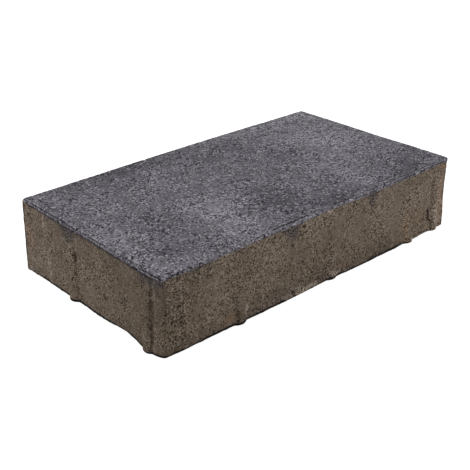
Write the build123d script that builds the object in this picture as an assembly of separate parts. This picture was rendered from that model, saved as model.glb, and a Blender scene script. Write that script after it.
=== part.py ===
"""Concrete paving stone: one rectangular cast stone with moulded spacer ribs.

Millimetres, +Z up. The stone lies on its bed at z = 0, with the walked-on
face upward and the long sides along X. The origin is the middle of the bed.
"""

from build123d import *

import math
import os

# Body of the stone at its top face, without the ribs, and how far each side
# leans out on its way down to the bed, so that the mould lifts off
LENGTH = 304.0
WIDTH = 172.0
THICKNESS = 60.0
CORNER_RADIUS = 4.0
TOP_ARRIS_RADIUS = 2.0
SIDE_DRAFT = 0.6

# Spacer ribs: round-nosed, upright, with a sloped head and a flared foot
RIB_WIDTH = 8.6
RIB_PROUD = 1.7
FOOT_PROUD = 2.5
FOOT_BAND = 2.5
FOOT_HEIGHT = 9.0
HEAD_DROP = 6.0
HEAD_SLOPE = 12.0
RIB_ROOT_RADIUS = 1.5

# Rib places, as shares of a side from its left-hand end, seen from outside,
# and one more rib at one distance from the right-hand corner of each side
LONG_SIDE_SHARES = (0.217, 0.53, 0.835)
SHORT_SIDE_SHARES = (0.383,)
CORNER_INSET = 15.5

# The nose of a rib is an arc: its width and projection set its radius and how
# deep in the stone the middle of the arc stands
NOSE_RADIUS = ((RIB_WIDTH / 2) ** 2 + RIB_PROUD**2) / (2 * RIB_PROUD)
AXIS_DEPTH = NOSE_RADIUS - RIB_PROUD

# Each rib is rooted in the stone by a thin strip just under the side face
STRIP_DEPTH = 1.0
STRIP_WIDTH = 2 * (AXIS_DEPTH + FOOT_PROUD) + 4 * RIB_ROOT_RADIUS


def lean(height: float) -> float:
    """How far a side stands outside the top outline at a height."""
    return SIDE_DRAFT * (1 - height / THICKNESS)


def body_outline(height: float) -> Sketch:
    """Level outline of the body at a height, corners rounded."""
    out = lean(height)
    outline = RectangleRounded(LENGTH + 2 * out, WIDTH + 2 * out, CORNER_RADIUS + out)
    return Pos(0, 0, height) * outline


def stone_body() -> Part:
    """Block with rounded corners and leaning sides, on its bed at z = 0."""
    return loft([body_outline(0), body_outline(THICKNESS)], ruled=True)


def rib_section(proud: float, height: float) -> Face:
    """Level section of a rib at a height, outward along +Y from the top outline."""
    nose_radius = AXIS_DEPTH + proud
    reach = nose_radius + RIB_ROOT_RADIUS
    root_x = math.sqrt(reach**2 - (AXIS_DEPTH + RIB_ROOT_RADIUS) ** 2)
    meet_x = root_x * nose_radius / reach
    meet_y = (AXIS_DEPTH + RIB_ROOT_RADIUS) * nose_radius / reach - AXIS_DEPTH
    side = STRIP_WIDTH / 2
    back = -STRIP_DEPTH
    left = TangentArc((-root_x, 0), (-meet_x, meet_y), tangent=(1, 0))
    nose = ThreePointArc((-meet_x, meet_y), (0, proud), (meet_x, meet_y))
    right = TangentArc((root_x, 0), (meet_x, meet_y), tangent=(-1, 0))
    strip = Polyline((root_x, 0), (side, 0), (side, back), (-side, back), (-side, 0), (-root_x, 0))
    outline = Wire([left, nose, right, *strip.edges()])
    return Pos(0, lean(height), height) * Face(outline)


def rib_solid() -> Part:
    """One spacer rib: flared foot, straight shank and sloped head."""
    head_top = THICKNESS - HEAD_DROP
    slope_start = head_top - HEAD_SLOPE
    foot = [rib_section(FOOT_PROUD, 0), rib_section(FOOT_PROUD, FOOT_BAND)]
    shank = [rib_section(RIB_PROUD, FOOT_HEIGHT), rib_section(RIB_PROUD, head_top)]
    rib = loft(foot + shank, ruled=True)
    slope_foot = (RIB_PROUD + lean(slope_start), slope_start)
    slope_head = (lean(head_top), head_top)
    slope = Polyline(slope_head, (2 * FOOT_PROUD, head_top), slope_foot, close=True)
    cutter = extrude(Plane.YZ * make_face(slope), amount=STRIP_WIDTH, both=True)
    return rib - cutter


def rib_spread(side: float, shares: tuple[float, ...]) -> list[float]:
    """Distances of the ribs from the middle of one side, positive to its left hand."""
    along = [share * side for share in shares] + [side - CORNER_INSET]
    return [side / 2 - distance for distance in along]


def rib_places() -> list[Location]:
    """Where the ribs stand on the four sides, each turned to face outward."""
    spread = rib_spread(LENGTH, LONG_SIDE_SHARES)
    half = [Pos(x, WIDTH / 2) for x in spread]
    spread = rib_spread(WIDTH, SHORT_SIDE_SHARES)
    half += [Pos(LENGTH / 2, -y) * Rot(Z=-90) for y in spread]
    return half + [Rot(Z=180) * place for place in half]


def paving_stone() -> Part:
    """The whole stone: body, ribs and the rounded top arris."""
    stone = stone_body()
    rib = rib_solid()
    for place in rib_places():
        stone += place * rib
    top_rim = stone.faces().sort_by(Axis.Z)[-1].outer_wire().edges()
    return fillet(top_rim, TOP_ARRIS_RADIUS)


os.makedirs("parts", exist_ok=True)
part = paving_stone()
part.label = "paving_stone"
export_step(part, "parts/paving_stone.step")
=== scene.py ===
"""Concrete paving stone, dressed on its CAD solid.

Metres, +Z up, in the frame of the CAD model: the stone lies on its bed at
z = 0, the long sides run along X, and the front long side faces -Y. The skin
of the stone is one fine mesh laid over the CAD solid, roughened as pressed
concrete is, with worn edges, pores, burrs at the bed and smears of face mix.

The tables of marks are in millimetres. Along is the distance from a side's
left-hand end, seen from outside, and on top from the left end. Across is the
height above the bed on a side, and the distance from the back edge on top.
"""

import logging
import math
import random
from dataclasses import dataclass, field
from enum import Enum
from typing import Callable, TypeVar

import bpy
import numpy as np
from mathutils import Matrix, Vector, noise
from mathutils.bvhtree import BVHTree
from mathutils.kdtree import KDTree


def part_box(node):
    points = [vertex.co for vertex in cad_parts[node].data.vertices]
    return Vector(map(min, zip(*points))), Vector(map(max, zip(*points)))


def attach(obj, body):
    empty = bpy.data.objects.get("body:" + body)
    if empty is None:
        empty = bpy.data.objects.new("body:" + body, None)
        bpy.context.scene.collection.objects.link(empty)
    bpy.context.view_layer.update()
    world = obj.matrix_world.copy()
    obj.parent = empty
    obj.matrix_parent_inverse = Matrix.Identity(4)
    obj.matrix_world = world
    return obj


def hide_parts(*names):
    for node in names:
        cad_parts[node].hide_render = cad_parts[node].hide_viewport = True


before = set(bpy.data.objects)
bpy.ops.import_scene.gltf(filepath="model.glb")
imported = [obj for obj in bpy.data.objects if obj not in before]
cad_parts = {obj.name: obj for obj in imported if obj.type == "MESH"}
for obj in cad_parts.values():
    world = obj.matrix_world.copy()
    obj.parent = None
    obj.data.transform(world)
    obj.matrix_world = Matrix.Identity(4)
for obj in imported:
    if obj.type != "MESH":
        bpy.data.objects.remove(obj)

LOG = logging.getLogger("paving_stone")
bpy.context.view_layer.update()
MM = 0.001

Colour = tuple[float, float, float]
Triple = tuple[float, float, float]
Field = np.ndarray
Wander = tuple[Field, Field]
Row = tuple[str | float, ...]
Mark = TypeVar("Mark")
Socket = bpy.types.NodeSocket
Feed = Socket | float | Colour

LEVEL = np.array([1.0, 1.0, 0.0])
UP = np.array([0.0, 0.0, 1.0])


class Side(Enum):
    """A face of the stone, with the direction it looks in."""

    FRONT = (0.0, -1.0, 0.0)
    RIGHT = (1.0, 0.0, 0.0)
    BACK = (0.0, 1.0, 0.0)
    LEFT = (-1.0, 0.0, 0.0)
    TOP = (0.0, 0.0, 1.0)


def smooth(value: Field, low: float, high: float) -> Field:
    """Smooth step from 0 at low to 1 at high.

    Args:
        value: Numbers to map.
        low: Where the step starts.
        high: Where the step ends.

    Returns:
        The mapped numbers, from 0 to 1.
    """
    share = np.clip((value - low) / (high - low), 0.0, 1.0)
    return share * share * (3.0 - 2.0 * share)


def grain(points: Field, size: Triple, seed: float, octaves: int = 1) -> Field:
    """Smooth random numbers over points in space.

    Args:
        points: Places, one row each, in metres.
        size: How large a lump is along X, Y and Z, in millimetres.
        seed: Shifts the pattern, so that two fields differ.
        octaves: How many layers are added up, each finer and weaker than the last.

    Returns:
        One number for each point, about -1 to 1.
    """
    finer, shift, weaker = 2.03, 7.1, 0.5
    total = np.zeros(len(points))
    weight = 1.0
    scaled = points / (np.array(size) * MM) + seed
    for _ in range(octaves):
        total += weight * np.fromiter((noise.noise(Vector(p)) for p in scaled), float, len(scaled))
        scaled = scaled * finer + shift
        weight *= weaker
    return total


def placed(name: str, data: bpy.types.ID) -> bpy.types.Object:
    """A new object in the scene.

    Args:
        name: Name of the object.
        data: Its mesh, light or camera.

    Returns:
        The object.
    """
    thing = bpy.data.objects.new(name, data)
    bpy.context.scene.collection.objects.link(thing)
    return thing


@dataclass
class StoneForm:
    """The stone's section and edges as a fine net of points over the CAD solid."""

    node: str = "paving_stone"
    foot_proud: float = 2.5 * MM
    side_draft: float = 0.6 * MM
    corner_radius: float = 4.0 * MM
    arris_radius: float = 2.0 * MM
    bed_radius: float = 0.6 * MM
    step: float = 1.1 * MM
    wall_step: float = 1.22 * MM
    rim_band: float = 6.0 * MM
    rim_step: float = 0.6 * MM
    corner_steps: int = 3
    arris_steps: int = 4
    bed_steps: int = 2
    probe_depth: float = 6.0 * MM
    probe_lowest: float = 0.1 * MM
    corner_blend: float = 1.5 * MM
    points: Field = field(default_factory=lambda: np.zeros((0, 3)))
    outward: Field = field(default_factory=lambda: np.zeros((0, 3)))
    faces: list[tuple[int, ...]] = field(default_factory=list)

    def __post_init__(self) -> None:
        """Read the size of the body from the CAD box and build the net."""
        low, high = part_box(self.node)
        self.half_length = high.x - self.foot_proud - self.side_draft
        self.half_width = high.y - self.foot_proud - self.side_draft
        self.height = high.z
        self._lay_net()

    def _lines(self, half: float) -> tuple[Field, Field]:
        """Grid lines across one direction of the plan.

        Args:
            half: Half the size of the body in that direction.

        Returns:
            The place of each line on the inner rectangle, and how far into
            a rounded corner it lies, from -1 to 1.
        """
        inner = half - self.corner_radius
        count = round(2 * inner / self.step)
        straight = np.linspace(-inner, inner, count + 1)
        steps = np.arange(self.corner_steps, 0, -1) / self.corner_steps
        place = np.concatenate([np.full(len(steps), -inner), straight, np.full(len(steps), inner)])
        into = np.concatenate([-steps, np.zeros(count + 1), steps[::-1]])
        return place, into

    def _corner_direction(self, ex: Field, ey: Field) -> Field:
        """Map square corner places onto a quarter disc.

        Args:
            ex: Share of the way into the corner along X, signed.
            ey: The same along Y.

        Returns:
            Offsets on the unit disc, one row for each place.
        """
        ax, ay = np.abs(ex), np.abs(ey)
        reach = np.maximum(ax, ay)
        safe = np.where(reach > 0, reach, 1.0)
        angle = np.where(ax >= ay, ay / safe, 2.0 - ax / safe) * math.pi / 4
        return np.stack([np.sign(ex) * np.cos(angle), np.sign(ey) * np.sin(angle)], -1) * reach[..., None]

    def _probe(self, starts: Field, directions: Field, solid: BVHTree) -> Field:
        """How far the CAD solid stands out past the flat side at each place.

        Args:
            starts: Points on the flat side.
            directions: Level outward directions, one for each point.
            solid: Search tree of the CAD mesh.

        Returns:
            One distance for each point, 0 on the flat side.
        """
        proud = np.zeros(len(starts))
        for number, (start, direction) in enumerate(zip(starts, directions)):
            inside = start - self.probe_depth * direction
            hit = solid.ray_cast(Vector(inside), Vector(direction), 4 * self.probe_depth)[0]
            if hit is not None:
                proud[number] = max(0.0, (hit - Vector(start)).dot(Vector(direction)))
        return proud

    def _levels(self) -> list[tuple[float, float]]:
        """Rings of the wall, from the bed up.

        Returns:
            Inset and height of each ring.
        """
        quarter = [math.pi / 2 * n / self.bed_steps for n in range(self.bed_steps + 1)]
        bed = [(self.bed_radius * (1 - math.sin(a)), self.bed_radius * (1 - math.cos(a))) for a in quarter]
        low, high = self.bed_radius, self.height - self.arris_radius
        bend = high - self.rim_band
        coarse = np.linspace(low, bend, round((bend - low) / self.wall_step) + 1)
        fine = np.linspace(bend, high, round(self.rim_band / self.rim_step) + 1)
        wall = [(0.0, float(level)) for level in (*coarse[1:], *fine[1:-1])]
        turns = [math.pi / 2 * n / self.arris_steps for n in range(self.arris_steps + 1)]
        radius = self.arris_radius
        arris = [(radius * (1 - math.cos(a)), high + radius * math.sin(a)) for a in turns]
        return bed + wall + arris

    def _lay_net(self) -> None:
        """Fill points, outward directions and faces of the whole skin."""
        place_x, into_x = self._lines(self.half_length)
        place_y, into_y = self._lines(self.half_width)
        nx, ny = len(place_x) - 1, len(place_y) - 1
        border = [(i, 0) for i in range(nx)] + [(nx, j) for j in range(ny)]
        border += [(i, ny) for i in range(nx, 0, -1)] + [(0, j) for j in range(ny, 0, -1)]
        bi, bj = np.array(border).T
        base = np.stack([place_x[bi], place_y[bj]], -1)
        around = self._corner_direction(into_x[bi], into_y[bj])
        level_out = np.column_stack([around, np.zeros(len(border))])
        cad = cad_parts[self.node]
        solid = BVHTree.FromObject(cad, bpy.context.evaluated_depsgraph_get())
        rings, directions = [], []
        for inset, height in self._levels():
            ring = np.column_stack([base + (self.corner_radius - inset) * around, np.full(len(base), height)])
            if height < self.height - self.arris_radius:
                probe_at = ring + level_out * inset
                probe_at[:, 2] = max(height, self.probe_lowest)
                ring = ring + level_out * self._probe(probe_at, level_out, solid)[:, None]
            rings.append(ring)
            lift = max(0.0, (height - self.height + self.arris_radius) / self.arris_radius)
            tilt = math.asin(min(1.0, lift))
            directions.append(level_out * math.cos(tilt) + UP * math.sin(tilt))
        count = len(border)
        faces = []
        for level in range(len(rings) - 1):
            first, upper = level * count, (level + 1) * count
            for n in range(count):
                m = (n + 1) % count
                faces.append((first + n, first + m, upper + m, upper + n))
        self.wall_count = len(rings) * count
        index = np.full((nx + 1, ny + 1), -1)
        index[bi, bj] = np.arange(count) + (len(rings) - 1) * count
        gi, gj = np.meshgrid(np.arange(nx + 1), np.arange(ny + 1), indexing="ij")
        free = index < 0
        index[free] = self.wall_count + np.arange(free.sum())
        plan = np.stack([place_x[gi], place_y[gj]], -1)
        around = self._corner_direction(into_x[gi], into_y[gj])
        plan = plan + (self.corner_radius - self.arris_radius) * around
        top = np.column_stack([plan[free], np.full(free.sum(), self.height)])
        for i in range(nx):
            for j in range(ny):
                faces.append((index[i, j], index[i + 1, j], index[i + 1, j + 1], index[i, j + 1]))
        faces.append(tuple(range(count - 1, -1, -1)))
        self.points = np.concatenate(rings + [top])
        self.outward = np.concatenate(directions + [np.tile(UP, (len(top), 1))])
        self.faces = [tuple(int(v) for v in face) for face in faces]

    def along(self, side: Side) -> Field:
        """Distance of every point along a side.

        Args:
            side: The side.

        Returns:
            Distances from its left-hand end, seen from outside.
        """
        x, y = self.points[:, 0], self.points[:, 1]
        return {
            Side.FRONT: x + self.half_length,
            Side.RIGHT: y + self.half_width,
            Side.BACK: self.half_length - x,
            Side.LEFT: self.half_width - y,
            Side.TOP: x + self.half_length,
        }[side]

    def across(self, side: Side) -> Field:
        """Distance of every point across a side.

        Args:
            side: The side.

        Returns:
            Heights on an upright side, or distances from the back edge on top.
        """
        if side is Side.TOP:
            return self.half_width - self.points[:, 1]
        return self.points[:, 2]

    def over_arris(self) -> Field:
        """Distance over the top arris.

        Returns:
            Distances from its sharp edge, above 0 on top and below 0 down the sides.
        """
        x_in = self.half_length - np.abs(self.points[:, 0])
        y_in = self.half_width - np.abs(self.points[:, 1])
        into_x = np.maximum(self.corner_radius - x_in, 0.0)
        into_y = np.maximum(self.corner_radius - y_in, 0.0)
        rounded = self.corner_radius - np.hypot(into_x, into_y)
        inset = np.where((into_x > 0) & (into_y > 0), rounded, np.minimum(x_in, y_in))
        return inset - (self.height - self.points[:, 2])

    def beside(self, side: Side) -> Field:
        """Which points lie nearest to one upright side.

        Args:
            side: The side.

        Returns:
            1 for those points, 0 for those nearer to another side.
        """
        x, y = self.points[:, 0], self.points[:, 1]
        insets = {
            Side.FRONT: self.half_width + y,
            Side.RIGHT: self.half_length - x,
            Side.BACK: self.half_width - y,
            Side.LEFT: self.half_length + x,
        }
        own = insets.pop(side)
        return smooth(np.minimum.reduce(list(insets.values())) - own, -self.corner_blend, self.corner_blend)

    def spot(self, side: Side, along: float, high: float) -> Vector:
        """Where a place on an upright side is in space.

        Args:
            side: The side.
            along: Distance from its left-hand end, seen from outside.
            high: Height above the bed.

        Returns:
            The place, on the flat side at its top edge's depth.
        """
        outward = Vector(side.value)
        rightward = Vector((-outward.y, outward.x, 0.0))
        halves = (self.half_length, self.half_width)
        half_side, depth = halves if outward.x == 0 else halves[::-1]
        return outward * depth + rightward * (along - half_side) + Vector((0.0, 0.0, high))

    def facing(self, side: Side) -> Field:
        """How squarely each point faces a side's way, from 0 to 1."""
        askew, square = 0.35, 0.75
        return smooth(self.outward @ np.array(side.value), askew, square)

    def flat(self) -> Field:
        """The points laid flat on the plane of the bed."""
        return self.points * LEVEL


@dataclass(frozen=True)
class Patch:
    """A soft patch on one face: where it is, how large and how strong."""

    side: Side
    what: str
    along: float
    across: float
    half_along: float
    half_across: float
    strength: float

    def spread(self, form: StoneForm, wander: Wander) -> Field:
        """Strength of the patch at every point of the form.

        Args:
            form: The net of points.
            wander: Random shifts along and across, which make the outline ragged.

        Returns:
            One number for each point.
        """
        half_along, half_across = self.half_along * MM, self.half_across * MM
        du = (form.along(self.side) + wander[0] * half_along - self.along * MM) / half_along
        dv = (form.across(self.side) + wander[1] * half_across - self.across * MM) / half_across
        return self.strength * form.facing(self.side) * np.exp(-(du * du + dv * dv))


@dataclass(frozen=True)
class Smear:
    """Face mix dragged down a side by the mould, fading towards the bed."""

    side: Side
    along: float
    half_width: float
    length: float
    strength: float

    def spread(self, form: StoneForm, wander: Wander) -> Field:
        """Strength of the smear at every point of the form.

        Args:
            form: The net of points.
            wander: Random shifts along and down the side.

        Returns:
            One number for each point.
        """
        sideways, downward, fades_from = 0.5, 0.35, 0.25
        du = (form.along(self.side) - self.along * MM) / (self.half_width * MM) + sideways * wander[0]
        depth = (form.height - form.points[:, 2]) / (self.length * MM) + downward * wander[1]
        fading = 1.0 - smooth(depth, fades_from, 1.0)
        return self.strength * form.facing(self.side) * np.exp(-du * du) * fading


@dataclass(frozen=True)
class EdgeLine:
    """A thin line that runs along the top arris, broken or whole."""

    side: Side
    what: str
    start: float
    end: float
    first_over: float
    last_over: float
    half_width: float
    strength: float
    broken: bool = True

    def spread(self, form: StoneForm, wander: Wander) -> Field:
        """Strength of the line at every point of the form.

        Args:
            form: The net of points.
            wander: Random numbers that bend the line and break it.

        Returns:
            One number for each point.
        """
        fade, bend, broken_at, whole_at = 3, 0.35, -1.1, -0.1
        along = form.along(self.side) / MM
        share = np.clip((along - self.start) / (self.end - self.start), 0.0, 1.0)
        place = self.first_over + (self.last_over - self.first_over) * share + bend * wander[0]
        begun = smooth(along, self.start - fade, self.start + fade)
        ended = smooth(along, self.end - fade, self.end + fade)
        kept = smooth(wander[1], broken_at, whole_at) if self.broken else 1.0
        whole = begun * (1.0 - ended) * form.beside(self.side) * kept
        return self.strength * whole * np.exp(-(((form.over_arris() / MM - place) / self.half_width) ** 2))


@dataclass(frozen=True)
class Swell:
    """A place where a side or a rim stands out or falls back."""

    side: Side
    what: str
    along: float
    half_along: float
    half_up: float
    proud: float
    high: float = 0.0


@dataclass(frozen=True)
class Hole:
    """An air hole at a known place in an upright side."""

    side: Side
    along: float
    high: float
    radius: float


def table(kind: Callable[..., Mark], rows: dict[Side, tuple[Row, ...]]) -> tuple[Mark, ...]:
    """Marks of one kind, in the order in which they are listed.

    Args:
        kind: Class of the marks.
        rows: For each side, the rest of every mark's fields.

    Returns:
        One mark for each row.
    """
    return tuple(kind(side, *row) for side, listed in rows.items() for row in listed)


# Clouds of tone on every face: above 0 for pale, below 0 for dark
CLOUDS = table(Patch, {
    Side.TOP: (
        ("broad pale cloud at the right", 252, 62, 20, 40, 1.0),
        ("its pale right end", 276, 66, 20, 30, 0.85),
        ("its pale near end", 226, 116, 34, 16, 0.8),
        ("pale cloud in the near middle", 88, 130, 17, 36, 1.3),
        ("its pale right flank", 102, 116, 16, 20, 0.75),
        ("pale cloud at the left end", 10, 108, 15, 24, 0.8),
        ("pale strip along the back edge", 244, 8, 58, 7, 1.0),
        ("palest spot in the back right corner", 293, 12, 12, 10, 1.3),
        ("bluish bloom at the front edge", 216, 146, 15, 20, 0.8),
        ("pale strip at the near corner", 24, 164, 26, 6, 0.6),
        ("pale spot at the left back corner", 16, 12, 18, 8, 0.5),
        ("faint pale streak behind the middle", 100, 52, 8, 26, 0.4),
        ("dark cloud in the near middle", 138, 140, 22, 22, -1.0),
        ("dark strip at the front edge", 176, 163, 24, 10, -1.2),
        ("dark strip at its right", 250, 166, 40, 7, -0.8),
        ("dark patch left of the middle", 46, 106, 16, 20, -0.5),
        ("dark patch by the near corner", 26, 143, 16, 9, -1.0),
        ("dark patch at the right front", 272, 154, 20, 16, -0.8),
        ("dark patch at the back", 165, 30, 30, 16, -0.4),
        ("dark patch right of the middle", 214, 66, 16, 14, -0.4),
        ("dark edge at the back", 92, 7, 27, 12, -1.45),
        ("dark back edge at the left", 40, 7, 24, 8, -0.45),
        ("dark spot at the right edge", 297, 142, 9, 9, -0.45),
        ("pale front right corner", 298, 165, 9, 7, 0.6),
        ("pale right edge", 298, 46, 8, 26, 0.3),
        ("pale spot right of the middle", 226, 104, 16, 9, 0.3),
        ("pale spot by the right edge", 277, 106, 10, 9, 0.35),
        ("pale spot behind the middle", 161, 48, 10, 9, 0.35),
        ("pale spot in the near left", 47, 143, 9, 8, 0.45),
        ("dark spot at its right", 66, 143, 9, 8, -0.3),
        ("dark spot before the middle", 128, 124, 14, 9, -0.3),
        ("dark spot right of the back middle", 228, 48, 17, 9, -0.4),
        ("dark strip across the middle", 140, 86, 26, 8, -0.33),
        ("pale spot at the far left", 28, 105, 9, 9, 0.35),
        ("dark spot before the right half", 199, 142, 9, 9, -0.35),
        ("dark patch in the left half", 64, 104, 12, 12, -0.5),
        ("dark patch at the front edge, left", 52, 164, 14, 8, -0.7),
        ("pale spot in the middle", 160, 104, 11, 10, 0.45),
        ("pale spot at the back edge", 276, 8, 14, 9, 1.1),
        ("pale spot left of it", 227, 7, 20, 8, 0.8),
        ("pale strip behind the near corner", 8, 150, 10, 20, 0.4),
    ),
    Side.FRONT: (
        # Painted light and shade: the pale far half and the dark near end and corner make the front darker
        # towards the near corner
        ("pale far half", 268, 36, 76, 26, 0.6),
        ("pale upper middle", 150, 54, 44, 12, 0.4),
        ("pale upper right", 252, 46, 22, 10, 0.25),
        ("dark near end", 6, 28, 22, 44, -0.5),
        ("dark near corner", 4, 30, 10, 24, -0.4),
        ("dull spot in the red-brown stain", 180, 7, 10, 7, -0.6),
        ("dark upper near end", 28, 47, 24, 11, -0.45),
        ("dull foot of the left half", 84, 3, 52, 13, -0.55),
        ("dull foot of the middle", 150, 4, 50, 16, -0.35),
        ("dull foot of the right half", 214, 3, 40, 13, -0.55),
        ("dull foot by the third rib", 250, 3, 16, 8, -0.4),
        ("dull foot of the near end", 14, 3, 22, 7, -0.45),
        ("pale right foot", 298, 18, 14, 18, 0.4),
    ),
    Side.LEFT: (
        ("dark spot near the bed", 121, 6, 10, 9, -0.5),
        ("pale spot by the corner rib", 149, 15, 8, 7, 0.4),
        ("pale spot in the middle", 94, 34, 10, 7, 0.35),
        # Painted light and shade: the pale far end, dark near end and dull right half make this side darker
        # towards the near corner
        ("pale far end", 12, 30, 34, 40, 0.5),
        ("dark near end", 168, 30, 16, 44, -0.5),
        ("dull right half", 138, 30, 30, 40, -0.65),
    ),
    Side.BACK: (
        ("pale half", 60, 34, 70, 26, 0.5),
        ("dull end", 280, 26, 30, 34, -0.5),
    ),
    Side.RIGHT: (
        ("pale end", 150, 30, 30, 36, 0.5),
        ("dull foot", 50, 2, 40, 9, -0.6),
    ),
})

# Face mix dragged down the sides: along, half its width, length and strength
SMEARS = table(Smear, {
    Side.FRONT: (
        (22, 24, 8, 0.5), (34, 10, 24, 0.3), (117, 7, 21, 1.0), (206, 5, 17, 1.3),
        (230, 60, 5, 0.45), (110, 70, 5, 0.25),
    ),
    Side.LEFT: (
        (40, 7, 9, 0.5), (63, 9, 17, 1.5), (112, 44, 10, 0.55), (160, 14, 17, 1.4),
    ),
    Side.BACK: (
        (60, 10, 18, 0.7), (171, 6, 20, 0.7), (262, 12, 12, 0.6),
    ),
    Side.RIGHT: (
        (40, 7, 16, 0.6), (121, 10, 12, 0.7),
    ),
})

# Grey film of the face mix along the feet of the sides
GREY_FEET = table(Patch, {
    Side.FRONT: (
        ("grey foot of the left half", 92, 3, 44, 8, 0.42),
        ("grey foot of the middle", 150, 3, 26, 9, 0.36),
        ("grey foot of the right half", 210, 2, 40, 6, 0.42),
    ),
    Side.LEFT: (
        ("grey foot", 14, 3, 20, 8, 0.35),
    ),
    Side.BACK: (
        ("grey foot", 180, 3, 50, 7, 0.4),
    ),
})

# Stretches of the arris where the face mix has worn off
BARE = table(Patch, {
    Side.FRONT: (
        ("bare arris by the right front corner", 292, 58, 12, 2.0, 0.5),
        ("bare arris left of the middle", 84, 58, 30, 1.4, 0.45),
        ("bare arris right of the middle", 158, 58, 24, 1.6, 0.5),
    ),
})

# Rust and red-brown stains
RUST = table(Patch, {
    Side.FRONT: (
        ("rusty spot at a rib foot", 54, 8, 9, 4, 0.9),
        ("brown spot near the corner", 16, 11, 6, 3, 0.5),
        ("red-brown stain near the bed", 178, 9, 10, 5, 0.5),
        ("rusty right end", 300, 32, 6, 28, 1.0),
        ("warm face of the corner rib", 295, 34, 6, 20, 0.9),
        ("warm right part", 268, 18, 14, 14, 0.5),
        ("red flank of the third rib", 250, 12, 3, 12, 0.7),
    ),
    Side.LEFT: (
        ("warm left rib", 67, 22, 8, 22, 0.35),
        ("warm far end", 9, 34, 6, 20, 0.6),
        ("pink corner of the far end", 3, 56, 4, 3, 0.8),
    ),
    Side.BACK: (
        ("rusty spot", 120, 14, 10, 6, 0.6),
    ),
    Side.RIGHT: (
        ("rusty spot", 60, 10, 7, 6, 0.6),
    ),
})

# Pale bloom and chips; the pale faces of the corner rib are painted highlights
BLOOM_AND_HIGHLIGHTS = table(Patch, {
    Side.FRONT: (
        ("pale bloom near the bed", 130, 2, 17, 4, 0.85),
        ("pale foot of a rib", 72, 9, 3, 4, 0.8),
        ("pale foot of the middle rib", 163, 6, 5, 5, 0.9),
        ("pale foot of the third rib", 257, 1, 4, 2, 1.0),
        # Painted highlight down the face of the corner rib
        ("pale face of the corner rib", 291.8, 13, 3.8, 12, 3.6),
        ("its middle", 292.2, 28, 3.2, 9, 2.6),
        ("its upper end", 293.5, 42, 4, 9, 0.8),
        ("pale chip on the arris", 157, 58, 3, 1.5, 1.2),
    ),
    Side.LEFT: (
        ("pale chip on the far corner", 4, 58, 2.5, 1.5, 1.2),
        ("pale strip down the near corner", 164.6, 10, 2.0, 18, 0.45),
        ("its upper part", 162.0, 42, 1.5, 15, 0.45),
        ("pale streak", 30, 48, 2.2, 9, 0.7),
        ("pale streak near the bed", 35, 11, 2.4, 8, 0.8),
        ("pale end", 8, 10, 6, 10, 0.5),
    ),
    Side.BACK: (
        ("pale bloom", 95, 10, 16, 8, 0.7),
    ),
    Side.RIGHT: (
        ("pale bloom", 96, 12, 10, 8, 0.6),
    ),
})

# Painted shade on the flanks and roots of ribs, down the corners, near the corners and in the hollow by the
# corner rib; the streak below the smear is a stain, and the back is darker at its foot
SHADE = table(Patch, {
    Side.LEFT: (
        ("dark flank of the left rib", 70.5, 36.5, 1.3, 5.5, 1.2),
        ("its lower part", 70.5, 25, 1.3, 8, 0.5),
        ("dark flank of the corner rib", 160.8, 14, 1.8, 18, 0.75),
        ("its upper part", 158.8, 42, 2.2, 15, 0.65),
        ("dark near corner", 166.5, 34, 4.0, 30, 0.28),
        ("dark line down the far corner", 1.0, 40, 2.8, 26, 1.3),
        ("its top end", 2, 57, 5, 5, 0.6),
    ),
    Side.FRONT: (
        ("dark near corner", 2, 30, 5, 34, 0.3),
        ("dark line down the right corner", 302.6, 32, 1.8, 34, 1.5),
        ("dark flank above the first foot", 63, 8, 3, 7, 0.6),
        ("dark hollow by the corner rib", 280, 16, 1.6, 6, 1.3),
        ("dark root of the corner rib", 283.5, 32, 1.2, 18, 0.6),
        ("dark streak below the smear", 119, 36, 2.2, 9, 0.3),
    ),
    Side.BACK: (
        ("dark foot", 210, 1.5, 24, 2.5, 0.9),
    ),
})

# Ribs of the two hidden sides, each by its distance along
HIDDEN_RIBS = {Side.BACK: (66.0, 161.1, 253.8, 288.5), Side.RIGHT: (65.9, 156.5)}


def at_hidden_ribs(what: str, shift: float, *numbers: float) -> tuple[Patch, ...]:
    """The same patch at every rib of the two hidden sides.

    Args:
        what: What the patch is, in words.
        shift: How far past the rib's middle it lies.
        numbers: The rest of its fields.

    Returns:
        One patch for each rib.
    """
    places = [(side, place) for side, listed in HIDDEN_RIBS.items() for place in listed]
    return tuple(Patch(side, what, place + shift, *numbers) for side, place in places)


# Painted shade beside each rib of the hidden sides
RIB_ROOT_SHADE = at_hidden_ribs("painted shade beside a rib", 5.0, 28, 1.4, 20, 0.75)
# Painted highlight on the nose of each rib of the hidden sides
RIB_NOSE_HIGHLIGHTS = at_hidden_ribs("pale nose of a rib", -0.5, 16, 2.4, 16, 0.5)
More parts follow.
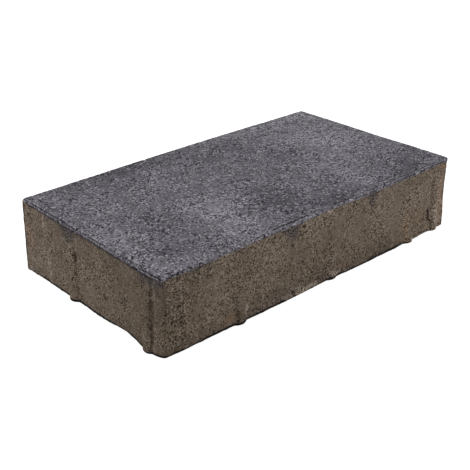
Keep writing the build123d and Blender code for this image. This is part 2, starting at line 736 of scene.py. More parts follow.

# Painted shade in the creases of the arris and under its lip, and the lower edges of the face mix
DARK_LINES = table(EdgeLine, {
    Side.LEFT: (
        ("lower edge of the face mix, far third", 8, 50, -1.8, -3.0, 0.9, 0.7),
        ("lower edge of the face mix, middle", 50, 96, -3.2, -3.3, 1.0, 0.62),
        ("lower edge of the face mix, near third", 96, 162, -3.7, -5.3, 0.7, 0.8),
        ("crease of the arris, far half", -2, 60, 0.6, 0.6, 0.8, 0.9),
        ("crease of the arris, near half", 60, 150, 0.1, -0.5, 0.7, 0.7),
        ("crease at the near corner", 148, 172, -2.0, -2.2, 0.6, 0.8),
    ),
    Side.FRONT: (
        ("dull arris at the near corner", 6, 40, 0.2, 0.6, 1.8, 0.42, False),
        ("dark edge of the arris", 86, 112, -0.7, -0.7, 1.6, 0.42),
        ("crease of the arris", 100, 136, 3.2, 3.2, 0.7, 1.3),
        ("crease of the arris, right of the middle", 164, 188, 2.6, 2.6, 0.6, 0.9),
        ("crease of the arris, right end", 200, 290, 2.6, 2.6, 0.6, 0.7),
        ("dark foot of the arris", 184, 300, -0.6, -0.6, 0.7, 0.85),
    ),
    Side.BACK: (
        ("dark back rim", 84, 250, 0.9, 0.9, 1.5, 0.9),
        ("its right end", 0, 84, 3.0, 2.4, 1.0, 0.5),
        ("lower edge of the face mix", 20, 290, -2.2, -3.0, 0.7, 0.5),
    ),
    Side.RIGHT: (
        ("dark right rim", 6, 52, 0.6, 0.6, 1.2, 0.35),
        ("lower edge of the face mix", 10, 160, -2.4, -3.2, 0.8, 0.7),
    ),
})

# Painted highlights along the arris, beside the creases
PALE_LINES = table(EdgeLine, {
    Side.LEFT: (
        ("pale lip of the arris", 0, 70, 2.2, 2.0, 0.7, 0.5),
        ("pale lip of the arris, near half", 90, 160, 1.1, 1.3, 0.8, 0.45),
        ("pale face of the arris, near half", 96, 170, -2.0, -3.2, 0.9, 0.9),
    ),
    Side.FRONT: (
        ("pale band behind the arris", 182, 286, 5.0, 5.0, 2.4, 0.3),
        ("pale lip of the arris", 0, 70, 1.9, 1.9, 0.7, 0.35),
        ("pale lip of the arris, middle", 100, 150, 1.2, 1.2, 0.7, 0.25),
        ("pale lip of the arris, right end", 184, 262, 1.2, 1.2, 0.6, 0.5),
    ),
})

# Where the painted shadow line along the bed is broken
BED_GAPS = table(Patch, {
    Side.FRONT: (
        ("pale edge left of the middle foot", 130, 0, 22, 30, 1.0),
        ("pale edge by the right end", 282, 0, 27, 30, 0.85),
    ),
    Side.LEFT: (
        ("pale far end", 2, 0, 7, 30, 1.0),
        ("pale edge before the near corner", 118, 0, 16, 30, 0.4),
        ("pale edge past the left rib", 91, 0, 14, 30, 0.35),
    ),
    Side.BACK: (
        ("pale edge", 96, 0, 18, 30, 0.8),
    ),
})

# Where the sides have more pores than elsewhere
PITTED = table(Patch, {
    Side.FRONT: (
        ("pores by the near corner", 12, 24, 18, 22, 1.0),
        ("pores round the first foot", 58, 12, 14, 10, 0.6),
        ("pores round the middle foot", 155, 10, 12, 10, 1.2),
        ("pores near the bed", 212, 12, 22, 8, 0.9),
        ("pores round the corner rib", 287, 12, 5, 9, 1.2),
    ),
    Side.LEFT: (
        ("pores by the left rib", 69, 26, 5, 26, 0.8),
        ("pores near the bed", 124, 20, 22, 12, 0.7),
        ("pores by the near end", 158, 24, 9, 26, 0.9),
    ),
})

# Slumped, swollen and worn stretches of the sides
SWELLS = table(Swell, {
    Side.LEFT: (
        ("sharper far corner", -2, 6, 60, 1.3),
        ("slumped corner", 162, 20, 24, 2.9),
        ("hollow before it", 124, 9, 6, -0.9),
        ("worn near end", 172, 5, 6, -1.1),
        ("swelling", 98, 14, 8, 0.6),
        ("thicker foot of the left rib", 66, 5, 5, 0.6),
    ),
    Side.FRONT: (
        ("worn right end", 306, 7, 15, -1.2, 32),
        ("worn near end", 3, 9, 6, -0.6),
        ("swelling along the middle", 108, 36, 5, 0.8),
        ("worn foot of the middle rib", 161, 5, 6, -0.7),
        ("swelling along the right half", 212, 42, 5, 1.5),
        ("its end past the third rib", 262, 8, 5, 0.6),
    ),
})

# Burrs and worn stretches of the top rims
RIMS = table(Swell, {
    Side.RIGHT: (
        ("burr on the right rim", 14, 54, 2.4, 1.3),
        ("burr on the right rim's far half", 122, 54, 2.4, 0.8),
    ),
    Side.BACK: (
        ("burr on the back rim", 152, 66, 2.4, 0.5),
        ("worn right end of the back rim", 12, 38, 2.4, -0.4),
        ("worn left end of the back rim", 282, 22, 2.4, -0.3),
    ),
})

# The larger air holes: along, height and radius
HOLES = table(Hole, {
    Side.FRONT: (
        (11.5, 35, 1.7), (6, 28, 1.3), (9, 25, 1.4), (8, 12, 1.2), (13, 22, 1.3), (17, 42, 1.2),
        (24, 20, 1.2), (52, 12, 1.2), (117, 43, 1.4), (145, 10, 1.2), (160, 14, 1.2),
        (206, 12, 1.2), (218, 8, 1.2), (279.3, 20, 1.4), (279.8, 17, 1.7), (280.5, 13.5, 1.3),
        (283, 10.5, 1.3), (284.8, 8.5, 1.3),
    ),
    Side.LEFT: (
        (69.5, 38, 1.3), (70.5, 34, 1.2), (71, 12, 1.5), (70.5, 7, 1.2), (121, 22, 1.4),
        (124.5, 23, 1.2), (129, 26, 1.3), (100, 8, 1.2), (118, 28, 1.1), (168, 18, 1.3),
    ),
    Side.BACK: (
        (40, 22, 1.3), (188, 12, 1.4),
    ),
    Side.RIGHT: (
        (92, 30, 1.2),
    ),
})


@dataclass(frozen=True)
class Roughness:
    """Random lumps of one size, and how high they stand on the sides and on top."""

    size: Triple
    seed: float
    octaves: int
    on_sides: float
    on_top: float = 0.0

    def over(self, points: Field) -> Field:
        """The lumps at each point, as shares of their height, about -1 to 1."""
        return grain(points, self.size, self.seed, self.octaves)


@dataclass(frozen=True)
class Draw:
    """Random sizes: the least, how much more the largest has, and how rare large ones are."""

    least: float
    more: float
    rarity: int = 1

    def pick(self, rng: random.Random) -> float:
        """One size."""
        return self.least + self.more * rng.random() ** self.rarity


@dataclass
class Relief:
    """Roughness of the pressed concrete, cut into the net of points.

    Radii and heights are in millimetres, and depths are shares of a radius.
    """

    form: StoneForm
    seed: int = 41
    waves: Roughness = Roughness((30, 30, 22), 3.7, 2, 0.22, 0.10)
    lumps: Roughness = Roughness((4.2, 4.2, 4.2), 11.3, 2, 0.16, 0.07)
    pits: Roughness = Roughness((2.3, 2.3, 2.6), 23.9, 1, 0.16, 0.09)
    streaks: Roughness = Roughness((5, 5, 60), 31.1, 1, 0.10)
    burrs: Roughness = Roughness((5, 5, 1), 51.2, 2, 0.5)
    slivers: Roughness = Roughness((17, 17, 1), 63.4, 2, 0.4)
    pore_count: int = 190
    pore_radius: Draw = Draw(0.7, 1.1, 6)
    pore_depth: Draw = Draw(0.5, 0.5)
    pore_lowest: float = 2
    pore_shade: float = 1.6
    hole_depth: float = 0.9
    chip_count: int = 90
    chip_radius: Draw = Draw(0.8, 1.6, 3)
    chip_depth: Draw = Draw(0.2, 0.25)
    chip_from_above: float = 0.6
    rim_tilt: tuple[float, float] = (0.3, 0.95)
    upright: float = 0.05
    sliver_up: float = 0.3
    bed_share: float = 0.25
    # Painted shade in pores and sunk places, one number for each point
    hollow: Field = field(default_factory=lambda: np.zeros(0))
    chipped: Field = field(default_factory=lambda: np.zeros(0))
    near: KDTree = field(default_factory=lambda: KDTree(0))

    def cut(self) -> None:
        """Move the points of the form by every kind of roughness in turn."""
        self.hollow = np.zeros(len(self.form.points))
        self.chipped = np.zeros(len(self.form.points))
        self._swellings()
        self._ragged_bed_edge()
        self._waves_and_lumps()
        self.near = KDTree(len(self.form.points))
        for number, point in enumerate(self.form.points):
            self.near.insert(Vector(point), number)
        self.near.balance()
        self._chips_on_the_arris()
        self._pores()

    def _wall_share(self) -> Field:
        """1 on the upright sides, 0 on the top, between them on the arris."""
        return 1.0 - smooth(self.form.outward[:, 2], 0.2, 0.9)

    def _waves_and_lumps(self) -> None:
        """Long waves and lumps of gravel under the paste, along the outward way."""
        points = self.form.points
        wall = self._wall_share()
        side, top, found = 0.0, 0.0, []
        for kind in (self.waves, self.lumps, self.pits, self.streaks):
            found.append(kind.over(points))
            side = side + kind.on_sides * found[-1]
            top = top + kind.on_top * found[-1]
        amount = (wall * side + (1 - wall) * top) * MM
        resting = smooth(points[:, 2], 0.0, 1.0 * MM)
        self.form.points = points + self.form.outward * (amount * resting)[:, None]
        _, lumps, pits, _ = found
        # Painted shade: where pits and lumps are sunk, the colour gets darker
        from_pits, from_lumps, darkest, on_top = 0.55, 0.35, 0.38, 0.35
        sunk = np.clip(-(from_pits * pits + from_lumps * lumps), 0, 1)
        self.hollow += darkest * sunk * (on_top + (1 - on_top) * wall)

    def _swellings(self) -> None:
        """Slumped and swollen stretches of the sides, and burrs on the top rims."""
        form = self.form
        level = form.outward * LEVEL
        for swell in SWELLS:
            du = (form.along(swell.side) / MM - swell.along) / swell.half_along
            dv = (form.points[:, 2] / MM - swell.high) / swell.half_up
            amount = swell.proud * form.facing(swell.side) * np.exp(-(du**4) - dv * dv)
            form.points = form.points + level * (amount * MM)[:, None]
        for rim in RIMS:
            du = (form.along(rim.side) / MM - rim.along) / rim.half_along
            dv = form.over_arris() / MM / rim.half_up
            amount = rim.proud * form.beside(rim.side) * np.exp(-(du**4) - dv * dv)
            form.points = form.points + form.outward * (amount * MM)[:, None]

    def _ragged_bed_edge(self) -> None:
        """Burrs and missing slivers where the sides meet the bed."""
        form = self.form
        low = 1.0 - smooth(form.points[:, 2], 0.5 * MM, 3.5 * MM)
        wall = smooth(np.hypot(form.outward[:, 0], form.outward[:, 1]), 0.5, 0.9)
        flat = form.flat()
        burr = np.clip(self.burrs.over(flat), 0, 1)
        sliver = self.slivers.over(flat)
        missing = np.clip(sliver - 0.1, 0, 1)
        out = (self.burrs.on_sides * burr - self.slivers.on_sides * missing) * low * wall
        up = self.sliver_up * np.clip(sliver, 0, 1) * np.clip(low, 0, 1) * wall
        on_bed = form.points[:, 2] < 0.05 * MM
        lift = np.where(on_bed, self.bed_share, 1.0) * up
        form.points = form.points + form.outward * (out * MM)[:, None]
        form.points[:, 2] += lift * MM

    def _chips_on_the_arris(self) -> None:
        """Small bites out of the top edge, at random places round the rim."""
        form = self.form
        rng = random.Random(self.seed)
        tilt = form.outward[:, 2]
        least, most = self.rim_tilt
        rim = np.nonzero((tilt > least) & (tilt < most))[0]
        for _ in range(self.chip_count):
            centre = form.points[rng.choice(rim)]
            radius = self.chip_radius.pick(rng) * MM
            depth = radius * self.chip_depth.pick(rng)
            for _, number, distance in self.near.find_range(Vector(centre), radius):
                bite = depth * (1 - (distance / radius) ** 2)
                form.points[number] -= bite * self._inward_tilt(number)
                self.chipped[number] = max(self.chipped[number], 1 - distance / radius)

    def _inward_tilt(self, number: int) -> Field:
        """Direction that a chip bites from, between outward and up."""
        way = self.form.outward[number] + self.chip_from_above * UP
        return way / np.linalg.norm(way)

    def _pores(self) -> None:
        """Air holes in the sides, thicker near the bed, with a few on top."""
        form = self.form
        rng = random.Random(self.seed + 1)
        above = form.points[:, 2] > self.pore_lowest * MM
        wall = np.nonzero((form.outward[:, 2] < self.upright) & above)[0]
        for _ in range(self.pore_count):
            radius = self.pore_radius.pick(rng) * MM
            centre = Vector(form.points[rng.choice(wall)])
            self._press(centre, radius, radius * self.pore_depth.pick(rng))
        for hole in HOLES:
            centre = self.near.find(form.spot(hole.side, hole.along * MM, hole.high * MM))[0]
            self._press(centre, hole.radius * MM, self.hole_depth * hole.radius * MM)

    def _press(self, centre: Vector, radius: float, depth: float) -> None:
        """Push the points round one pore into the stone.

        Args:
            centre: Middle of the pore.
            radius: Its radius.
            depth: How deep it is.
        """
        for _, number, distance in self.near.find_range(centre, radius):
            share = 1 - (distance / radius) ** 2
            self.form.points[number] -= depth * share * self.form.outward[number]
            # Painted shade: the pore is darkened towards its middle
            self.hollow[number] = max(self.hollow[number], min(1.0, self.pore_shade * share))


@dataclass
class Colouring:
    """Soft masks over the net of points, which the finish reads."""

    form: StoneForm
    relief: Relief
    face_depth: float = 2.0 * MM
    face_sway: float = 0.4 * MM
    face_fade: tuple[float, float] = (-0.5 * MM, 0.8 * MM)
    deeper_at: tuple[float, ...] = (0, 42, 84, 150, 166)
    deeper_on_left: tuple[float, ...] = (0.0, 1.2, 1.4, 3.1, 1.2)
    bed_line_top: float = 1.9
    bed_line_sway: float = 0.6
    bed_line_fade: tuple[float, float] = (-0.9, 0.6)
    bed_line_strength: float = 1.4

    def masks(self) -> dict[str, Field]:
        """Work out every mask.

        Returns:
            The masks by name, one number for each point.
        """
        wander = self._wander(0.5, (18, 18, 12), (71.7, 83.9))
        near = self._wander(0.8, (6, 6, 6), (91.3, 97.1))
        return {
            "cloud": self._sum(CLOUDS, wander),
            "face_mix": self._face_mix(near),
            "film": self._sum(SMEARS + GREY_FEET, near),
            "rust": self._sum(RUST, near),
            # bloom also holds painted highlights on rib faces, and shade is painted shade
            "bloom": self._sum(BLOOM_AND_HIGHLIGHTS + RIB_NOSE_HIGHLIGHTS, near),
            "shade": self._sum(SHADE + RIB_ROOT_SHADE, near),
            # line holds the painted shadow along the bed, painted shade in the arris creases and the lower
            # edges of the face mix; lip holds painted highlights along the arris
            "line": np.clip(self._painted_bed_shadow(near) + self._sum(DARK_LINES, near), 0.0, 1.0),
            "lip": self._sum(PALE_LINES, near),
            "pitted": self._sum(PITTED, near),
            # hollow is painted shade in pores and sunk places
            "hollow": self.relief.hollow,
            "chipped": self.relief.chipped,
        }

    def _wander(self, strength: float, size: Triple, seeds: tuple[float, float]) -> Wander:
        """Random shifts along and across, which make the outlines of marks ragged."""
        first, second = (strength * grain(self.form.points, size, seed, 2) for seed in seeds)
        return first, second

    def _sum(self, marks: tuple[Patch | Smear | EdgeLine, ...], wander: Wander) -> Field:
        """Strengths of several patches, smears or lines added up."""
        return sum((mark.spread(self.form, wander) for mark in marks), np.zeros(len(self.form.points)))

    def _painted_bed_shadow(self, wander: Wander) -> Field:
        """The ragged dark line where the sides meet the bed: a painted contact shadow.

        Args:
            wander: Random shifts that make its gaps ragged.

        Returns:
            Its strength at every point, 0 above it.
        """
        sway = grain(self.form.flat(), (22, 22, 1), 15.5, 3)
        over = self.form.points[:, 2] / MM - (self.bed_line_top + self.bed_line_sway * sway)
        line = self.bed_line_strength * (1.0 - smooth(over, *self.bed_line_fade))
        return line * np.clip(1.0 - self._sum(BED_GAPS, wander), 0.0, 1.0)

    def _face_mix(self, wander: Wander) -> Field:
        """The cover of dark face mix, with its ragged lower edge.

        Args:
            wander: Random shifts that make its worn stretches ragged.

        Returns:
            1 where it covers the stone, falling to 0 below its edge.
        """
        form = self.form
        on_left = np.interp(form.along(Side.LEFT) / MM, self.deeper_at, self.deeper_on_left) * MM
        edge = self.face_depth + self.face_sway * grain(form.flat(), (28, 28, 1), 5.5, 3)
        edge = edge + on_left * form.beside(Side.LEFT)
        cover = 1.0 - smooth(form.height - form.points[:, 2] - edge, *self.face_fade)
        return np.clip(cover - self._sum(BARE, wander), 0.0, 1.0)


class Graph:
    """Shader nodes of one material, added and linked by short calls."""

    def __init__(self, name: str) -> None:
        """Start an empty material.

        Args:
            name: Name of the material.
        """
        self.material = bpy.data.materials.new(name)
        self.material.use_nodes = True
        self.tree = self.material.node_tree
        self.tree.nodes.clear()
        self.place = self.add("ShaderNodeTexCoord").outputs["Object"]

    def add(self, kind: str, inputs: dict[str | int, Feed] | None = None, **settings: str) -> bpy.types.Node:
        """A new node, set and fed.

        Args:
            kind: Blender's name for the kind of node.
            inputs: What each input gets, by its name or number.
            settings: Options of the node, by name.

        Returns:
            The node.
        """
        node = self.tree.nodes.new(kind)
        for name, choice in settings.items():
            setattr(node, name, choice)
        for key, value in (inputs or {}).items():
            self.feed(node.inputs[key], value)
        return node

    def feed(self, socket: Socket, value: Feed) -> None:
        """Link a socket to another, or set its own value.

        Args:
            socket: The input.
            value: Another socket, a number or a colour.
        """
        if isinstance(value, bpy.types.NodeSocket):
            self.tree.links.new(value, socket)
        elif isinstance(value, tuple) and len(socket.default_value) == 4:
            socket.default_value = (*value, 1.0)
        else:
            socket.default_value = value

    def math(self, operation: str, *numbers: Socket | float) -> Socket:
        """Numbers put through one step of arithmetic."""
        return self.add("ShaderNodeMath", dict(enumerate(numbers)), operation=operation).outputs[0]

    def product(self, first: Socket, second: Socket) -> Socket:
        """Two numbers multiplied."""
        return self.math("MULTIPLY", first, second)

    def sum_of(self, *terms: tuple[Socket, float], start: float = 0.0) -> Socket:
        """A weighted sum.

        Args:
            terms: Sockets, each with its weight.
            start: What the sum starts from.

        Returns:
            A socket with the sum.
        """
        total: Socket | float = start
        for socket, weight in terms:
            total = self.math("MULTIPLY_ADD", socket, weight, total)
        return total

    def range(self, value: Socket, low: float, high: float, least: float = 0.0, most: float = 1.0) -> Socket:
        """Numbers mapped smoothly to another range, and kept in it.

        Args:
            value: The numbers.
            low: Where their range starts.
            high: Where it ends.
            least: What they are at its start.
            most: What they are at its end.

        Returns:
            A socket with the mapped numbers.
        """
        limits = {"From Min": low, "From Max": high, "To Min": least, "To Max": most, "Value": value}
        return self.add("ShaderNodeMapRange", limits, interpolation_type="SMOOTHSTEP").outputs["Result"]

    def mask(self, name: str) -> Socket:
        """A mask that the mesh carries."""
        return self.add("ShaderNodeAttribute", attribute_name=name).outputs["Fac"]

    def broken_mask(
        self, name: str, breaker: Socket, weight: float, low: float, high: float, most: float = 1.0
    ) -> Socket:
        """A mask of the mesh, its edge broken up by noise.

        Args:
            name: Name of the mask.
            breaker: The noise.
            weight: How much of the noise is added.
            low: Sum of both where the mask starts.
            high: Sum of both where it is full.
            most: What a full mask comes to.

        Returns:
            A socket of numbers from 0 to most.
        """
        return self.range(self.sum_of((self.mask(name), 1.0), (breaker, weight)), low, high, most=most)

    def noise(
        self, size: float, detail: float = 2.0, rough: float = 0.5, shift: float = 0.0, tall: float = 1.0
    ) -> Socket:
        """Cloudy noise in space.

        Args:
            size: How large a cloud is, in millimetres.
            detail: How many finer layers it has.
            rough: How strong the finer layers are.
            shift: Moves the pattern, so that two noises differ.
            tall: How much longer it is upright than level.

        Returns:
            A socket of numbers about 0.5.
        """
        corner, stretch = (shift, shift * 1.7, shift * 0.6), (1.0, 1.0, 1.0 / tall)
        moved = {"Location": corner, "Scale": stretch, "Vector": self.place}
        where = self.add("ShaderNodeMapping", moved).outputs["Vector"]
        clouds = {"Scale": 1.0 / (size * MM), "Detail": detail, "Roughness": rough, "Vector": where}
        return self.add("ShaderNodeTexNoise", clouds).outputs["Fac"]

    def cells(self, size: float, shift: float = 0.0) -> tuple[Socket, Socket]:
        """Grains of sand or gravel.

        Args:
            size: How large a grain is, in millimetres.
            shift: Moves the pattern, so that two patterns differ.

        Returns:
            Distance to a grain's middle, in grains, and a random number for each grain.
        """
        moved = {"Location": (shift, shift * 1.3, shift * 0.7), "Vector": self.place}
        where = self.add("ShaderNodeMapping", moved).outputs["Vector"]
        grains = self.add("ShaderNodeTexVoronoi", {"Scale": 1.0 / (size * MM), "Vector": where}).outputs
        split = self.add("ShaderNodeSeparateColor", {"Color": grains["Color"]})
        return grains["Distance"], split.outputs["Red"]

    def packed_sand(self, size: float, shift: float, least: float, most: float) -> Socket:
        """Lightness of packed sand, with more contrast in some places than in others.

        Args:
            size: How large a grain is, in millimetres.
            shift: Moves the pattern, so that two patterns differ.
            least: Contrast where it is lowest.
            most: Contrast where it is highest.

        Returns:
            A socket of numbers about 1.
        """
        darkest = 0.08
        sand = self.cells(size, shift)[1]
        fine = self.noise(size, detail=2, rough=0.7, shift=shift + 2.6)
        grains = self.sum_of((sand, 2.3), (fine, 1.4), start=-1.85)
        patchy = self.noise(20, detail=3, rough=0.65, shift=shift + 5.0)
        contrast = self.range(patchy, 0.34, 0.66, least, most)
        lightness = self.sum_of((self.product(grains, contrast), 1.0), start=1.0)
        return self.math("MAXIMUM", lightness, darkest)

    def scaled(self, colour: Socket | Colour, factor: Socket) -> Socket:
        """A colour made lighter or darker by a factor."""
        node = self.add("ShaderNodeVectorMath", {0: colour, "Scale": factor}, operation="SCALE")
        return node.outputs["Vector"]

    def toned(self, deep: Colour, base: Colour, factor: Socket) -> Socket:
        """A tone that runs from deep at 0 to base at 1, and as far past it.

        Args:
            deep: The darkest colour.
            base: The colour at 1.
            factor: How light the tone is.

        Returns:
            A colour socket.
        """
        alike = self.add("ShaderNodeCombineXYZ", {"X": factor, "Y": factor, "Z": factor})
        rise = tuple(b - d for b, d in zip(base, deep))
        terms = {0: alike.outputs["Vector"], 1: rise, 2: deep}
        return self.add("ShaderNodeVectorMath", terms, operation="MULTIPLY_ADD").outputs["Vector"]

    def blend(self, share: Socket | float, first: Socket | Colour, second: Socket | Colour) -> Socket:
        """One colour laid over another.

        Args:
            share: How much of the second colour shows.
            first: The colour below.
            second: The colour above.

        Returns:
            A colour socket.
        """
        factor, below, above, result = 0, 6, 7, 2
        colours = {factor: share, below: first, above: second}
        return self.add("ShaderNodeMix", colours, data_type="RGBA").outputs[result]

    def bump(self, height: Socket, depth: float) -> Socket:
        """Fine relief from a height, in metres at its full range."""
        return self.add("ShaderNodeBump", {"Distance": depth, "Height": height}).outputs["Normal"]


@dataclass(frozen=True)
class FaceMixFinish:
    """Dark violet-grey face mix: clouds of tone with salt-and-pepper sand."""

    base: Colour = (0.1215, 0.1145, 0.1315)
    deep: Colour = (0.014, 0.010, 0.018)
    pepper: Colour = (0.022, 0.019, 0.025)
    salt: Colour = (0.34, 0.33, 0.36)

    def colour(self, graph: Graph) -> Socket:
        """Colour of the face mix.

        Args:
            graph: Nodes of the material.

        Returns:
            A colour socket.
        """
        cloudy = graph.sum_of(
            (graph.mask("cloud"), 0.42),
            # lip paints highlights along the arris
            (graph.mask("lip"), 0.8),
            (graph.noise(38, detail=4, rough=0.6, shift=1.0), 0.6),
            (graph.noise(8, detail=3, rough=0.6, shift=2.0), 0.7),
            start=0.33,
        )
        grainy = graph.packed_sand(1.05, shift=0.4, least=0.35, most=1.36)
        base = graph.toned(self.deep, self.base, graph.product(cloudy, grainy))
        pale_grains = graph.range(graph.cells(1.3, shift=0.7)[1], 0.92, 0.96, most=0.85)
        salted = graph.blend(pale_grains, base, self.salt)
        dark_grains = graph.range(graph.cells(1.5, shift=0.9)[1], 0.08, 0.04, most=0.85)
        return graph.blend(dark_grains, salted, self.pepper)


@dataclass(frozen=True)
class BodyMixFinish:
    """Grey-brown body mix: coarse sand, pale bloom with painted highlights, rust, painted shade and dark
    pores painted as shade.
    """

    base: Colour = (0.1390, 0.1085, 0.0825)
    deep: Colour = (0.022, 0.012, 0.004)
    gravel: Colour = (0.235, 0.200, 0.165)
    film: Colour = (0.058, 0.050, 0.049)
    rust: Colour = (0.200, 0.132, 0.088)
    # Pale bloom, also used for painted highlights on rib faces
    bloom: Colour = (0.285, 0.235, 0.195)
    # Painted shade on rib flanks, corners and hollows
    shade: Colour = (0.034, 0.024, 0.016)
    # Painted shade of pores that the mesh lacks
    pore: Colour = (0.007, 0.005, 0.004)

    def colour(self, graph: Graph) -> Socket:
        """Colour of the body mix.

        Args:
            graph: Nodes of the material.

        Returns:
            A colour socket.
        """
        cloudy = graph.sum_of(
            (graph.mask("cloud"), 0.33),
            (graph.noise(30, detail=3, rough=0.55, shift=5.0, tall=1.6), 0.6),
            (graph.noise(6, detail=3, rough=0.6, shift=6.0, tall=2.2), 0.4),
            (graph.noise(3, detail=2, rough=0.5, shift=6.5, tall=8.0), 0.2),
            start=0.40,
        )
        grainy = graph.packed_sand(0.7, shift=2.4, least=0.35, most=1.25)
        colour = graph.toned(self.deep, self.base, graph.product(cloudy, grainy))
        stones = graph.range(graph.cells(1.4, shift=2.9)[1], 0.93, 0.97, most=0.7)
        colour = graph.blend(stones, colour, self.gravel)
        wander = graph.noise(4, detail=3, rough=0.65, shift=9.0)
        filmed = graph.broken_mask("film", wander, 0.5, 0.30, 1.20, most=0.85)
        colour = graph.blend(filmed, colour, graph.scaled(self.film, grainy))
        # Bloom, rust and painted shade; bloom also paints highlights on rib faces
        stains = (("bloom", self.bloom, 0.85), ("rust", self.rust, 0.7), ("shade", self.shade, 0.85))
        for name, tone, most in stains:
            marked = graph.broken_mask(name, wander, 0.6, 0.40, 1.15, most)
            colour = graph.blend(marked, colour, graph.scaled(tone, grainy))
        # Painted shade: dark pores in clusters, with no holes in the mesh
        distance, chance = graph.cells(2.6, shift=3.7)
        clusters = graph.noise(14, detail=2, rough=0.6, shift=12.0)
        crowd = graph.sum_of((graph.mask("pitted"), 0.35), (clusters, 0.5), (chance, 1.0))
        crowded = graph.range(crowd, 1.00, 1.04, most=0.97)
        holes = graph.product(graph.range(distance, 0.31, 0.19), crowded)
        return graph.blend(holes, colour, self.pore)


@dataclass(frozen=True)
class ConcreteFinish:
    """The whole stone's finish: face mix over body mix, pores, chips and bump."""

    face: FaceMixFinish = FaceMixFinish()
    body: BodyMixFinish = BodyMixFinish()
    # Painted shade in the pores cut into the mesh
    pore: Colour = (0.010, 0.008, 0.007)
    # Painted shadow along the bed, painted shade in the arris creases, and the lower edges of the face mix
    line: Colour = (0.004, 0.0035, 0.0035)
    chip: Colour = (0.18, 0.165, 0.155)
    bump_depth: float = 0.5 * MM
    shine: float = 0.1

    def material(self) -> bpy.types.Material:
        """Build the material.

        Returns:
            A material for the whole skin of the stone.
        """
        graph = Graph("cast_concrete")
        edge = graph.noise(2.5, detail=3, rough=0.7, shift=10.0)
        covered = graph.broken_mask("face_mix", edge, 0.5, 0.58, 0.92)
        colour = graph.blend(covered, self.body.colour(graph), self.face.colour(graph))
        chipped = graph.broken_mask("chipped", edge, 0.6, 0.55, 1.0, most=0.6)
        colour = graph.blend(chipped, colour, self.chip)
        # Painted shade in pores and sunk places
        hollow = graph.range(graph.mask("hollow"), 0.15, 0.95, most=0.8)
        colour = graph.blend(hollow, colour, self.pore)
        # Painted shadow along the bed and painted shade in the arris creases
        lined = graph.broken_mask("line", edge, 0.5, 0.40, 1.05, most=0.92)
        colour = graph.blend(lined, colour, self.line)
        gritty = graph.noise(1.6, detail=3, rough=0.7, shift=11.0)
        height = graph.sum_of((gritty, 0.7), (graph.cells(1.7, shift=1.4)[0], 0.35))
        shader = graph.add("ShaderNodeBsdfPrincipled", {
            "Specular IOR Level": self.shine,
            "Base Color": colour,
            "Roughness": graph.range(edge, 0.2, 0.8, least=0.82, most=0.98),
            "Normal": graph.bump(height, self.bump_depth),
        })
        graph.add("ShaderNodeOutputMaterial", {"Surface": shader.outputs["BSDF"]})
        return graph.material


@dataclass
class PavingStone:
    """The paving stone: its skin over the CAD solid, with its finish."""

    name: str = "paving_stone_skin"
    form: StoneForm = field(default_factory=StoneForm)
    finish: ConcreteFinish = field(default_factory=ConcreteFinish)

    def build(self) -> bpy.types.Object:
        """Make the skin, dress it and let it stand for the CAD node.

        Returns:
            The skin object.
        """
        relief = Relief(self.form)
        relief.cut()
        masks = Colouring(self.form, relief).masks()
        mesh = bpy.data.meshes.new(self.name)
        mesh.from_pydata(self.form.points.tolist(), [], self.form.faces)
        mesh.polygons.foreach_set("use_smooth", [True] * len(mesh.polygons))
        for name, values in masks.items():
            layer = mesh.attributes.new(name, "FLOAT", "POINT")
            layer.data.foreach_set("value", values.astype(np.float32))
        mesh.materials.append(self.finish.material())
        skin = placed(self.name, mesh)
        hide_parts(self.form.node)
        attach(skin, "root")
        return skin


@dataclass(frozen=True)
class Softbox:
    """A square area light that looks at one point."""

    name: str
    place: Triple
    aim: Triple
    size: float
    watts: float

    def hang(self) -> None:
        """Add the light to the scene."""
        data = bpy.data.lights.new(self.name, "AREA")
        data.shape = "SQUARE"
        data.size = self.size
        data.energy = self.watts
        lamp = placed(self.name, data)
        lamp.location = self.place
        lamp.rotation_euler = (Vector(self.aim) - Vector(self.place)).to_track_quat("-Z", "Y").to_euler()


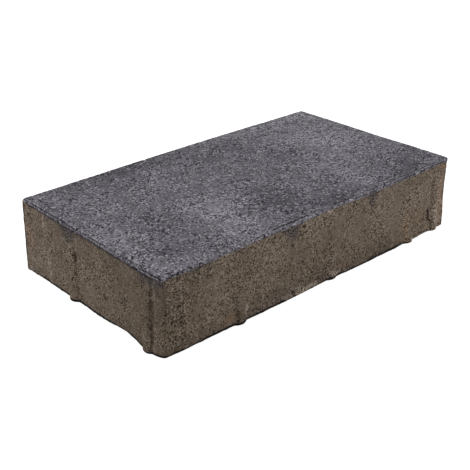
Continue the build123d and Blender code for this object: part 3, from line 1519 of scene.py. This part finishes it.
@dataclass
class Studio:
    """Pale floor, soft light and the camera at the photograph's angle."""

    floor_half: float = 4.0
    floor_colour: Colour = (0.62, 0.62, 0.62)
    floor_lift: float = 0.68
    world_light: float = 0.60
    camera_place: Triple = (-0.4614, -0.4900, 0.3401)
    camera_aim: Triple = (-0.0350, -0.0258, 0.030)
    camera_roll: float = -0.146
    lens: float = 70.29
    sensor: float = 36.0
    sight: tuple[float, float] = (0.01, 50.0)
    softboxes: tuple[Softbox, ...] = (
        Softbox("overhead", (0.1, 0.1, 1.5), (0.0, 0.0, 0.0), 1.4, 5.0),
        Softbox("left", (-1.1, 0.35, 0.8), (-0.15, 0.0, 0.03), 1.2, 5.8),
        Softbox("right", (0.45, -1.2, 0.8), (0.0, -0.09, 0.03), 1.2, 6.0),
    )

    def build(self) -> None:
        """Set up everything round the stone."""
        self._floor()
        self._world()
        for softbox in self.softboxes:
            softbox.hang()
        self._camera()
        bpy.context.scene.view_settings.view_transform = "Standard"

    def _floor(self) -> None:
        """A wide level floor that shows white to the camera and keeps the shadow."""
        half = self.floor_half
        mesh = bpy.data.meshes.new("floor")
        corners = [(-half, -half, 0), (half, -half, 0), (half, half, 0), (-half, half, 0)]
        mesh.from_pydata(corners, [], [(0, 1, 2, 3)])
        floor = placed("floor", mesh)
        graph = Graph("pale_floor")
        matt = graph.add("ShaderNodeBsdfDiffuse", {"Color": self.floor_colour})
        seen = graph.add("ShaderNodeLightPath").outputs["Is Camera Ray"]
        lift = graph.sum_of((seen, self.floor_lift))
        glow = graph.add("ShaderNodeEmission", {"Color": (1.0, 1.0, 1.0), "Strength": lift})
        both = graph.add("ShaderNodeAddShader", {0: matt.outputs["BSDF"], 1: glow.outputs["Emission"]})
        graph.add("ShaderNodeOutputMaterial", {"Surface": both.outputs["Shader"]})
        mesh.materials.append(graph.material)

    def _world(self) -> None:
        """Even light from all round, white where the camera sees it."""
        world = bpy.data.worlds.new("studio")
        world.use_nodes = True
        tree = world.node_tree
        background = tree.nodes["Background"]
        background.inputs["Color"].default_value = (1.0, 1.0, 1.0, 1.0)
        path = tree.nodes.new("ShaderNodeLightPath")
        strength = tree.nodes.new("ShaderNodeMapRange")
        strength.inputs["To Min"].default_value = self.world_light
        strength.inputs["To Max"].default_value = 1.0
        tree.links.new(path.outputs["Is Camera Ray"], strength.inputs["Value"])
        tree.links.new(strength.outputs["Result"], background.inputs["Strength"])
        bpy.context.scene.world = world

    def _camera(self) -> None:
        """The camera, placed as a fit to the photograph's outline gave it."""
        data = bpy.data.cameras.new("camera")
        data.lens = self.lens
        data.sensor_width = self.sensor
        data.clip_start, data.clip_end = self.sight
        camera = placed("camera", data)
        look = (Vector(self.camera_aim) - Vector(self.camera_place)).to_track_quat("-Z", "Y").to_matrix()
        turn = Matrix.Rotation(math.radians(self.camera_roll), 3, "Z")
        camera.matrix_world = Matrix.Translation(self.camera_place) @ (look @ turn).to_4x4()
        bpy.context.scene.camera = camera


def main() -> None:
    """Build the stone, then the studio round it, and report each piece."""
    logging.basicConfig(level=logging.INFO, format="%(name)s: %(message)s")
    stone = PavingStone()
    skin = stone.build()
    LOG.info("%s: %d points, %d faces", skin.name, len(skin.data.vertices), len(skin.data.polygons))
    studio = Studio()
    studio.build()
    LOG.info("studio: floor, %d softboxes and camera", len(studio.softboxes))


if __name__ == "__main__":
    main()
